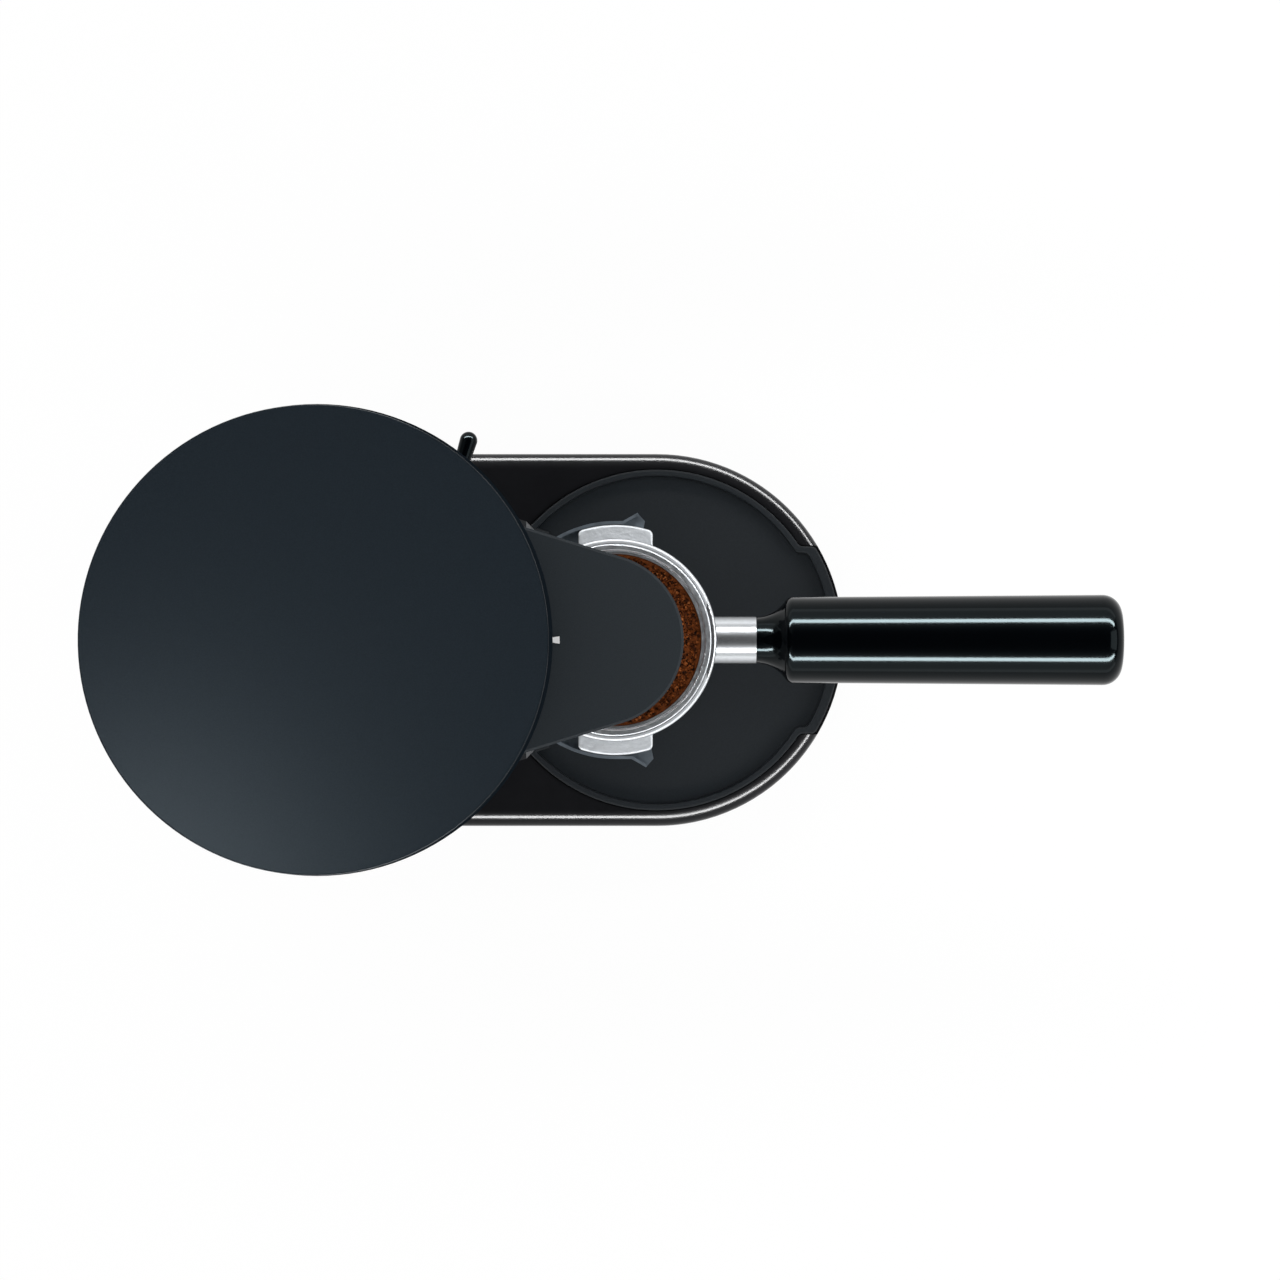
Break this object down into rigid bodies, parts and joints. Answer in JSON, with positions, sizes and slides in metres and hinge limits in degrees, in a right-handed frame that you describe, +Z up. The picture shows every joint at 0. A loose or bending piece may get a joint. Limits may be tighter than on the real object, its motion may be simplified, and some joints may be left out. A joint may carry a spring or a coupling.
{
  "type": "burr coffee grinder",
  "caption": "Electric burr coffee grinder with a round bean hopper and lid, a teardrop head, a fork holding a portafilter, a side toggle switch and a lift-out catch tray.",
  "frame": {"origin": "middle of the whole outline at the table surface, under the rubber feet", "axes": "+X towards the front, where the portafilter handle points; +Y to the grinder's left, the side of the toggle switch; +Z up"},
  "size_m": [0.3314, 0.1381, 0.3701],
  "materials": {
    "base_gloss": "high gloss black",
    "matte_black": "fine matte texture",
    "lid_black": "soft satin",
    "smoke": "smoked clear plastic",
    "body_grey": "satin coated sheet steel",
    "mark_white": "printed white",
    "rubber": "matte",
    "fork_grey": "satin blue grey",
    "polished": "polished plated brass",
    "basket_steel": "bright stamped steel",
    "handle_black": "high gloss black",
    "coffee": "loose ground coffee",
    "steel": "machined",
    "burr_steel": "hardened, ground",
    "screw_zinc": "zinc plated",
    "brass": "turned",
    "alu": "die cast",
    "nylon": "moulded",
    "motor_can": "plated steel",
    "magnet": "sintered",
    "board_green": "solder mask",
    "switch_black": "moulded",
    "silicone": "soft"
  },
  "bodies": {
    "housing": {"base_body": "base_gloss", "base_plate": "matte_black", "base_screws": "screw_zinc", "rubber_feet": "rubber", "cord_gland": "rubber", "body_wrap": "body_grey", "front_panel": "matte_black", "head_shell": "matte_black", "nose_cover": "matte_black", "index_mark": "mark_white", "outlet_spout": "matte_black", "outlet_chute": "switch_black", "grind_chamber": "alu", "gear_plate": "alu", "lower_posts": "steel", "upper_posts": "steel", "post_screws": "screw_zinc", "shaft_bearings": "steel", "motor_can": "motor_can", "motor_end_cap": "switch_black", "motor_bushings": "brass", "motor_magnets": "magnet", "motor_screws": "screw_zinc", "portafilter_fork": "fork_grey", "fork_screws": "screw_zinc", "toggle_housing": "switch_black", "toggle_bushing": "polished", "toggle_nut": "polished", "microswitch": "switch_black", "control_board": "board_green"},
    "tray": {"drip_tray": "matte_black"},
    "hopper": {"hopper_wall": "smoke", "hopper_funnel": "matte_black", "hopper_neck": "matte_black", "dial_ring": "matte_black"},
    "lid": {"lid": "lid_black", "lid_seal": "silicone"},
    "carrier": {"burr_carrier": "nylon", "ring_burr": "burr_steel"},
    "burr_rotor": {"cone_burr": "burr_steel", "sweeper": "nylon", "burr_shaft": "steel", "burr_nut": "screw_zinc", "burr_gear": "nylon"},
    "motor_rotor": {"motor_shaft": "steel", "motor_armature": "magnet", "commutator": "brass", "motor_pinion": "steel"},
    "toggle": {"toggle_lever": "handle_black"},
    "trigger": {"trigger_button": "switch_black"},
    "portafilter": {"portafilter_body": "polished", "filter_basket": "basket_steel", "ground_coffee": "coffee", "pouring_collar": "polished", "pouring_tubes": "polished", "handle_stud": "steel", "portafilter_handle": "handle_black"}
  },
  "joints": [
    {"name": "grind_dial", "type": "hinge", "parent": "housing", "child": "hopper", "pos_m": [-0.09525, 0, 0.25], "axis": [0, 0, 1], "range_deg": [-140, 140]},
    {"name": "burr_travel", "type": "slide", "parent": "hopper", "child": "carrier", "axis": [0, 0, 1], "range_m": [-0.0006, 0.0006]},
    {"name": "lid_lift", "type": "slide", "parent": "hopper", "child": "lid", "axis": [0, 0, 1], "range_m": [0, 0.03]},
    {"name": "burr_spin", "type": "hinge", "parent": "housing", "child": "burr_rotor", "pos_m": [-0.09525, 0, 0.16], "axis": [0, 0, 1], "continuous": true},
    {"name": "motor_spin", "type": "hinge", "parent": "housing", "child": "motor_rotor", "pos_m": [-0.12045, 0, 0.1], "axis": [0, 0, 1], "continuous": true},
    {"name": "toggle_flip", "type": "hinge", "parent": "housing", "child": "toggle", "pos_m": [-0.06466, 0.04792, 0.165], "axis": [0.9557, -0.2943, 0], "range_deg": [-13, 13]},
    {"name": "trigger_press", "type": "slide", "parent": "housing", "child": "trigger", "axis": [-1, 0, 0], "range_m": [0, 0.003], "stiffness_N_per_m": 300, "springref_m": -0.002},
    {"name": "tray_lift", "type": "slide", "parent": "housing", "child": "tray", "axis": [0, 0, 1], "range_m": [0, 0.01]},
    {"name": "portafilter_slide", "type": "slide", "parent": "housing", "child": "portafilter", "axis": [1, 0, 0], "range_m": [0, 0.07]}
  ],
  "couplings": [
    {"joint": "burr_travel", "follows": "grind_dial", "m_per_rad": 0.00023873},
    {"joint": "motor_spin", "follows": "burr_spin", "ratio": -3}
  ]
}
